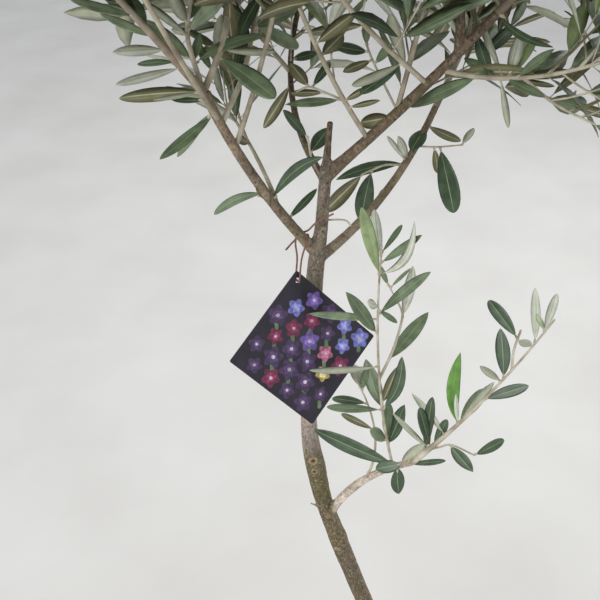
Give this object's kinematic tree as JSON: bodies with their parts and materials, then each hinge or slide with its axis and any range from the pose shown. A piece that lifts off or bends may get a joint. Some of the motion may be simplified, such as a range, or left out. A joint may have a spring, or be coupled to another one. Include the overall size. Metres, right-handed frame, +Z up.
{
  "type": "potted olive tree",
  "caption": "Young olive tree on one slender leaning stem, with an open crown, a hanging card label and a plain terracotta pot.",
  "frame": {"origin": "middle of the pot's flat underside", "axes": "+Z up, through the middle of the pot; +X to the right and +Y away, as the picture sees the tree"},
  "size_m": [0.6638, 0.6519, 1.8535],
  "materials": {
    "bark": "matte, grey-brown with a green tinge",
    "foliage": "leathery leaves, grey-green above and silvery below, on pale twigs",
    "terracotta": "unglazed, matte",
    "soil": "crumbly potting compost",
    "card": "printed card, satin",
    "wire": "paper-covered wire, matte"
  },
  "bodies": {
    "root": {"bough_arm": "bark", "bough_back": "bark", "bough_leader": "bark", "bough_left": "bark", "bough_low": "bark", "bough_right": "bark", "dead_stub": "bark", "label": "card", "leaves_arm_shoot": "foliage", "leaves_arm_tip": "foliage", "leaves_back": "foliage", "leaves_back_left": "foliage", "leaves_front": "foliage", "leaves_left": "foliage", "leaves_left_inner": "foliage", "leaves_left_low": "foliage", "leaves_left_upper": "foliage", "leaves_low_inner": "foliage", "leaves_low_middle": "foliage", "leaves_low_right": "foliage", "leaves_middle": "foliage", "leaves_middle_left": "foliage", "leaves_right": "foliage", "leaves_top": "foliage", "leaves_top_back": "foliage", "leaves_top_front": "foliage", "leaves_top_left": "foliage", "leaves_top_right": "foliage", "pot": "terracotta", "soil": "soil", "spur": "bark", "trunk": "bark", "wire": "wire"}
  },
  "joints": []
}
